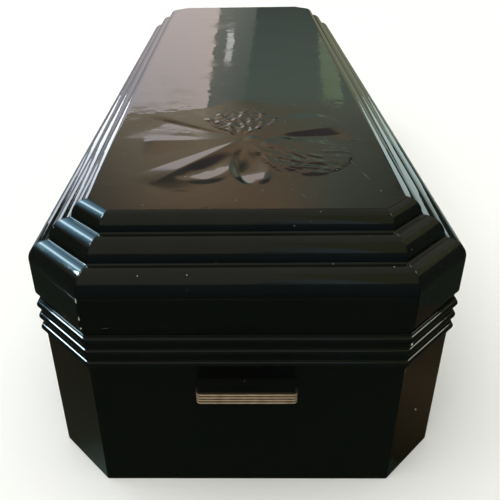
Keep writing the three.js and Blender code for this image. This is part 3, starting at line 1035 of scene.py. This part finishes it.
# Reflection cards stand far off round the stage, each a little nearer than the one before it. They hang
# in strips, and a card fills the room between one rung of its strip and the next. Each end of a rung has
# an azimuth from the head end towards the right and a height over the horizon, both in degrees, a colour
# and a strength.
CARD_STRIPS = (
    # pale wall beyond the head end, on the left
    (
        ((-17, -3, "FFF0EC", 0.35), (0.3, -3, "FFF0EC", 0.35)),
        ((-17, 18.4, "F4F2FF", 1.5), (-3.4, 18.4, "FFEDE4", 1.75)),
    ),
    # pale wall and floor further to the left, which the long left rounds mirror
    (
        ((-27, -3, "F0F4FF", 0.5), (-16.5, -3, "FFF0EC", 0.35)),
        ((-27, 18.4, "F4F2FF", 1.3), (-16.5, 18.4, "F4F2FF", 1.3)),
    ),
    (
        ((-36, -40, "E6F0FF", 0.12), (0.3, -40, "F0F4FF", 0.1)),
        ((-36, -3, "E6F0FF", 0.55), (0.3, -3, "FFF0EC", 0.35)),
    ),
    # half tone between the pale wall and the garden
    (
        ((0.3, -3, "FFF6EE", 0.2), (3.5, -3, "FFF6EE", 0.12)),
        ((-3.4, 18.4, "FCFFF2", 0.5), (0.4, 18.4, "EDFFF0", 0.38)),
    ),
    # garden on the right
    (
        ((2.3, 5, "E3FFEE", 0.03), (17, 5, "E3FFEE", 0.03)),
        ((0.4, 18, "E3FFEE", 0.36), (17, 18, "E3FFE8", 0.38)),
    ),
    # daylight and floor further to the right, which the long right rounds mirror
    (
        ((10.5, -3, "FFF4C0", 0.25), (26, -3, "F8FFD8", 0.4)),
        ((11.5, 18, "FCFFCC", 0.38), (26, 18, "F0FFE4", 0.65)),
    ),
    (
        ((2.3, -45, "F4FFE0", 0.2), (36, -45, "E4FFF4", 0.3)),
        ((2.3, -3, "F4FFE0", 0.2), (36, -3, "E4FFF4", 0.5)),
    ),
    # sunlit leaves and a bright door frame
    (
        ((7.3, 11, "ECFFD8", 0.4), (8.8, 11, "ECFFD8", 0.4)),
        ((8.3, 17.8, "E2FFD0", 0.55), (10.4, 17.8, "E2FFD0", 0.62)),
    ),
    (
        ((-1.1, 11.3, "FFFFFB", 1.3), (-0.45, 11.3, "FFFFFB", 1.3)),
        ((-1.5, 14, "FFFFFB", 1.2), (-0.9, 14, "FFFFFB", 1.2)),
    ),
    # brown ceiling beyond the head end, darker towards both sides
    (
        ((-18, 18.2, "FFFFE6", 0.4), (-16, 28, "FFFCDE", 0.26)),
        ((-9, 18.2, "FFEFD1", 0.72), (-9, 28, "FFD8B2", 0.74)),
        ((-3.5, 18.2, "FFEECF", 0.82), (-3.5, 28, "FFD6AF", 0.77)),
        ((0.5, 17.6, "FFF4CA", 0.32), (4, 28, "FFD6AF", 0.7)),
        ((10, 17.6, "F5FFE2", 0.33), (10, 28, "F3FFE6", 0.38)),
        ((17, 17.4, "F5FFE5", 0.25), (16, 28, "F5FFE5", 0.21)),
    ),
    (
        ((-16, 28, "FFFCDE", 0.26), (-16, 31, "FFF4DC", 0.2)),
        ((4, 28, "FFD6AF", 0.7), (4, 31, "FFE0C0", 0.36)),
        ((16, 28, "F5FFE5", 0.21), (16, 31, "FFFFED", 0.2)),
    ),
    (
        ((-16, 31, "FFF4DC", 0.2), (16, 31, "FFFFED", 0.26)),
        ((-16, 50, "FFFFED", 0.36), (16, 50, "FFFFED", 0.36)),
    ),
    # dark beam across the ceiling on the right
    (
        ((3, 31, "FFE8EC", 0.22), (30, 29, "FFE8EC", 0.2)),
        ((3, 46, "FFE8EC", 0.22), (30, 46, "FFE8EC", 0.2)),
    ),
    # windows on the left
    (
        ((-25, 5, "F0F6FF", 5.0), (-19.5, 5, "F0F6FF", 5.0)),
        ((-22, 27, "E6F2FF", 5.5), (-17.5, 27, "E6F2FF", 5.5)),
    ),
    (
        ((-34, -2, "E6F2FF", 2.4), (-27, -2, "E6F2FF", 2.4)),
        ((-34, 10, "E6F2FF", 3.0), (-27, 10, "E6F2FF", 3.0)),
    ),
    (
        ((-74, 18, "97DEFF", 0.2), (-74, 52, "97DEFF", 0.2)),
        ((-49, 26, "A8E1FF", 5.0), (-49, 52, "A8E1FF", 5.0)),
        ((-18.5, 28, "A8DCFF", 0.7), (-18.5, 46, "A8DCFF", 0.6)),
    ),
    (
        ((-57, 22, "A8E1FF", 3.6), (-57, 52, "A8E1FF", 3.6)),
        ((-49, 22, "CCEEFF", 15), (-49, 52, "CCEEFF", 15)),
        ((-41, 22, "A8E1FF", 3.8), (-41, 52, "A8E1FF", 3.8)),
    ),
    # bright upper pane, which only the beads mirror
    (
        ((-75, 32.5, "D2F2FF", 40), (-59, 40, "D2F2FF", 40)),
        ((-75, 52, "D2F2FF", 40), (-59, 52, "D2F2FF", 40)),
    ),
    # window on the right
    (
        ((20, 6, "E4FFF8", 1.8), (30, 6, "E4FFF8", 1.8)),
        ((18.8, 26, "E4FCFF", 2.8), (28, 26, "E4FCFF", 2.8)),
    ),
    # olive wall on the right of the foot end
    (
        ((60, 24, "FFFFB8", 0.28), (165.7, 26, "FFFFB8", 0.28)),
        ((60, 70, "FFFFC0", 0.26), (165.7, 80, "FFFFC0", 0.26)),
    ),
    # pale upper pane on the right, which only the beads mirror
    (
        ((59, 40, "FFFFF0", 4.5), (75, 32.5, "FFFFF0", 4.5)),
        ((59, 52, "FFFFF0", 4.5), (75, 52, "FFFFF0", 4.5)),
    ),
    # doorway in the wall beyond the foot end, blue with daylight
    (
        ((165.7, 24, "C9EBFF", 0.62), (178, 26, "D5EBFF", 0.2)),
        ((165.7, 46, "C9EBFF", 0.5), (178, 48, "FFFFED", 0.38)),
    ),
    # floor on the left and the right of the foot end
    (
        ((-88, -54, "CFFFF0", 0.36), (-52, -54, "CFFFF0", 0.36)),
        ((-88, -47, "FAFFD8", 0.06), (-52, -47, "FAFFD8", 0.06)),
        ((-88, -36, "FFE8B8", 0.05), (-52, -36, "FFE8B8", 0.05)),
    ),
    (
        ((54, -49, "FFE8A0", 0.02), (88, -49, "FFE8A0", 0.02)),
        ((54, -42, "FFDAA2", 0.09), (88, -42, "FFDAA2", 0.09)),
        ((54, -35, "FFE8B0", 0.05), (88, -35, "FFE8B0", 0.05)),
    ),
    # dim wall beyond the foot end
    (
        ((148, -34, "C8E8FF", 0.07), (212, -34, "C8E8FF", 0.07)),
        ((148, 22, "C8E8FF", 0.1), (212, 22, "C8E8FF", 0.08)),
    ),
)

# The first card's distance from a point on the lid and the step from card to card, in metres, and the
# cells along each edge of a card
CARD_CENTRE = Vector((0, -0.5, 0.5168))
CARD_DISTANCE = 30.0
CARD_STEP = 0.1
CARD_CELLS = 10

# The room's tones low down and high up, and the heights between which it changes, as shares of straight up
ROOM_LOW = scaled(linear("E4FFDE"), 0.045)
ROOM_HIGH = scaled(linear("FFFDE7"), 0.33)
ROOM_CHANGE = (0.36, 0.5)

# The floor's reach from the middle, its drop below the coffin's underside and the wall's radius, in metres
FLOOR_REACH = 40.0
FLOOR_DROP = 0.1 * MM
WALL_RADIUS = 38.0

# The key light's spread and its tilts about X and Y, in degrees
KEY_SPREAD = 80
KEY_TILT = (8, -12)

# The camera's place in millimetres, its turns in radians, and its shift as shares of the sensor's width
CAMERA_PLACE = (-8.571, -1756.176, 963.118)
CAMERA_YAW = -0.0214
CAMERA_PITCH = 0.5211
CAMERA_ROLL = -0.0167
CAMERA_SHIFT = (0.0417, -0.0318)
SENSOR_WIDTH = 36


def direction(azimuth, height):
    """Unit vector to an azimuth from +Y towards +X and a height over the horizon, in radians"""
    level = math.cos(height)
    return Vector((math.sin(azimuth) * level, math.cos(azimuth) * level, math.sin(height)))


class COFFIN_OT_stage(bpy.types.Operator):
    """Sets the pale floor, the studio light and the camera"""

    bl_idname = "coffin.stage"
    bl_label = "Set Stage"

    def place(self, mesh, material):
        """Stands a mesh on the stage as no part of the coffin"""
        mesh.materials.append(material)
        thing = bpy.data.objects.new(mesh.name, mesh)
        bpy.context.scene.collection.objects.link(thing)
        return thing

    def floor(self, stage):
        # Matt painted studio floor. It isn't mirrored in the lacquer, which stays black in the photograph.
        material, tree = new_material("matt_studio_floor")
        shader = add_node(tree, "BsdfPrincipled", "BSDF", {"Base Color": stage.floor, "Roughness": 0.9})
        add_node(tree, "OutputMaterial", None, {"Surface": shader})
        corners = [(FLOOR_REACH * x, FLOOR_REACH * y, 0) for x, y in ((-1, -1), (1, -1), (1, 1), (-1, 1))]
        mesh = bpy.data.meshes.new("studio_floor")
        mesh.from_pydata(corners, [], [(0, 1, 2, 3)])
        floor = self.place(mesh, material)
        floor.location.z = -FLOOR_DROP
        floor.visible_glossy = False

    def backdrop(self, stage):
        # Even white wall all round, which only the camera sees.
        material, tree = new_material("pale_studio_wall")
        glow = add_node(tree, "Emission", "Emission", {"Color": stage.backdrop})
        add_node(tree, "OutputMaterial", None, {"Surface": glow})
        ball = bmesh.new()
        bmesh.ops.create_uvsphere(ball, u_segments=32, v_segments=16, radius=WALL_RADIUS)
        mesh = bpy.data.meshes.new("studio_wall")
        ball.to_mesh(mesh)
        ball.free()
        wall = self.place(mesh, material)
        wall.visible_glossy = False
        wall.visible_diffuse = False
        wall.visible_shadow = False

    def card_grid(self, rung, next_rung):
        """Rows of azimuth, height, red, green and blue that blend the four corners of a card"""
        corners = []
        for azimuth, height, colour, strength in rung + next_rung:
            corners.append((azimuth, height, *scaled(linear(colour), strength)[:3]))
        start, end, next_start, next_end = np.array(corners)
        grid = []
        for onward in np.linspace(0, 1, CARD_CELLS + 1):
            for across in np.linspace(0, 1, CARD_CELLS + 1):
                here = start + (end - start) * across
                there = next_start + (next_end - next_start) * across
                grid.append((here + (there - here) * onward).tolist())
        return grid

    def cards(self):
        # Softly glowing boards, which only the gloss of the lacquer and the brass sees.
        material, tree = new_material("reflection_card")
        tint = add_node(tree, "VertexColor", "Color", layer_name="glow")
        glow = add_node(tree, "Emission", "Emission", {"Color": tint})
        add_node(tree, "OutputMaterial", None, {"Surface": glow})
        cards = [card for strip in CARD_STRIPS for card in zip(strip, strip[1:])]
        row = CARD_CELLS + 1
        points = []
        tones = []
        faces = []
        for index, (rung, next_rung) in enumerate(cards):
            first = len(points)
            for azimuth, height, *tone in self.card_grid(rung, next_rung):
                way = direction(math.radians(azimuth), math.radians(height))
                points.append(CARD_CENTRE + (CARD_DISTANCE - CARD_STEP * index) * way)
                tones.append(tone + [1.0])
            cells = [first + row * i + j for i in range(CARD_CELLS) for j in range(CARD_CELLS)]
            faces += [(cell, cell + 1, cell + row + 1, cell + row) for cell in cells]
        mesh = bpy.data.meshes.new("reflection_cards")
        mesh.from_pydata(points, [], faces)
        boards = self.place(mesh, material)
        glows = mesh.color_attributes.new("glow", "FLOAT_COLOR", "POINT")
        for item, tone in zip(glows.data, tones):
            item.color = tone
        boards.visible_camera = False
        boards.visible_diffuse = False
        boards.visible_shadow = False

    def world(self):
        world = bpy.data.worlds.new("studio_room")
        bpy.context.scene.world = world
        world.use_nodes = True
        tree = world.node_tree
        tree.nodes.clear()
        way = add_node(tree, "TexCoord", "Generated")
        height = add_node(tree, "SeparateXYZ", "Z", {"Vector": way})
        change = {"Value": height, "From Min": ROOM_CHANGE[0], "From Max": ROOM_CHANGE[1]}
        share = add_node(tree, "MapRange", "Result", change, interpolation_type="SMOOTHSTEP")
        tones = {"Factor": share, MIX_FIRST: ROOM_LOW, MIX_SECOND: ROOM_HIGH}
        tone = add_node(tree, "Mix", MIX_RESULT, tones, data_type="RGBA")
        room = add_node(tree, "Background", "Background", {"Color": tone})
        add_node(tree, "OutputWorld", None, {"Surface": room})

    def key_light(self, stage):
        light = bpy.data.lights.new("overhead_key", "SUN")
        light.energy = stage.key_strength
        light.angle = math.radians(KEY_SPREAD)
        lamp = bpy.data.objects.new("overhead_key", light)
        lamp.rotation_euler = (math.radians(KEY_TILT[0]), math.radians(KEY_TILT[1]), 0)
        lamp.visible_glossy = False
        bpy.context.scene.collection.objects.link(lamp)

    def camera(self, stage):
        data = bpy.data.cameras.new("camera")
        data.sensor_width = SENSOR_WIDTH
        data.lens = stage.lens
        data.shift_x = CAMERA_SHIFT[0]
        data.shift_y = CAMERA_SHIFT[1]
        camera = bpy.data.objects.new("camera", data)
        forward = direction(CAMERA_YAW, -CAMERA_PITCH)
        right = Vector((math.cos(CAMERA_YAW), -math.sin(CAMERA_YAW), 0))
        up = right.cross(forward)
        across = right * math.cos(CAMERA_ROLL) + up * math.sin(CAMERA_ROLL)
        upward = up * math.cos(CAMERA_ROLL) - right * math.sin(CAMERA_ROLL)
        turn = Matrix((across, upward, -forward)).transposed().to_4x4()
        camera.matrix_world = Matrix.Translation(Vector(CAMERA_PLACE) * MM) @ turn
        bpy.context.scene.collection.objects.link(camera)
        bpy.context.scene.camera = camera

    def execute(self, context):
        stage = context.scene.coffin_stage
        self.floor(stage)
        self.backdrop(stage)
        self.cards()
        self.world()
        self.key_light(stage)
        self.camera(stage)
        context.scene.view_settings.view_transform = "Standard"
        return {"FINISHED"}


OPERATORS = (
    COFFIN_OT_finishes,
    COFFIN_OT_box,
    COFFIN_OT_beads,
    COFFIN_OT_lid,
    COFFIN_OT_carving,
    COFFIN_OT_handles,
    COFFIN_OT_wear,
    COFFIN_OT_stage,
)


class COFFIN_PT_panel(bpy.types.Panel):
    """Lists the steps that build the coffin"""

    bl_idname = "COFFIN_PT_panel"
    bl_label = "Coffin"
    bl_space_type = "VIEW_3D"
    bl_region_type = "UI"
    bl_category = "Coffin"

    def draw(self, context):
        for operator in OPERATORS:
            self.layout.operator(operator.bl_idname)
        for attribute, group in GROUPS.items():
            box = self.layout.box()
            box.label(text=group.__doc__)
            for name in group.__annotations__:
                box.prop(getattr(context.scene, attribute), name)


def register():
    for group in GROUPS.values():
        bpy.utils.register_class(group)
    for attribute, group in GROUPS.items():
        setattr(bpy.types.Scene, attribute, PointerProperty(type=group))
    for operator in OPERATORS:
        bpy.utils.register_class(operator)
    bpy.utils.register_class(COFFIN_PT_panel)


def unregister():
    bpy.utils.unregister_class(COFFIN_PT_panel)
    for operator in reversed(OPERATORS):
        bpy.utils.unregister_class(operator)
    for attribute, group in reversed(GROUPS.items()):
        delattr(bpy.types.Scene, attribute)
        bpy.utils.unregister_class(group)


def main():
    register()
    bpy.ops.coffin.finishes()
    bpy.ops.coffin.box()
    bpy.ops.coffin.beads()
    bpy.ops.coffin.lid()
    bpy.ops.coffin.carving()
    bpy.ops.coffin.handles()
    bpy.ops.coffin.wear()
    bpy.ops.coffin.stage()


if __name__ == "__main__":
    main()
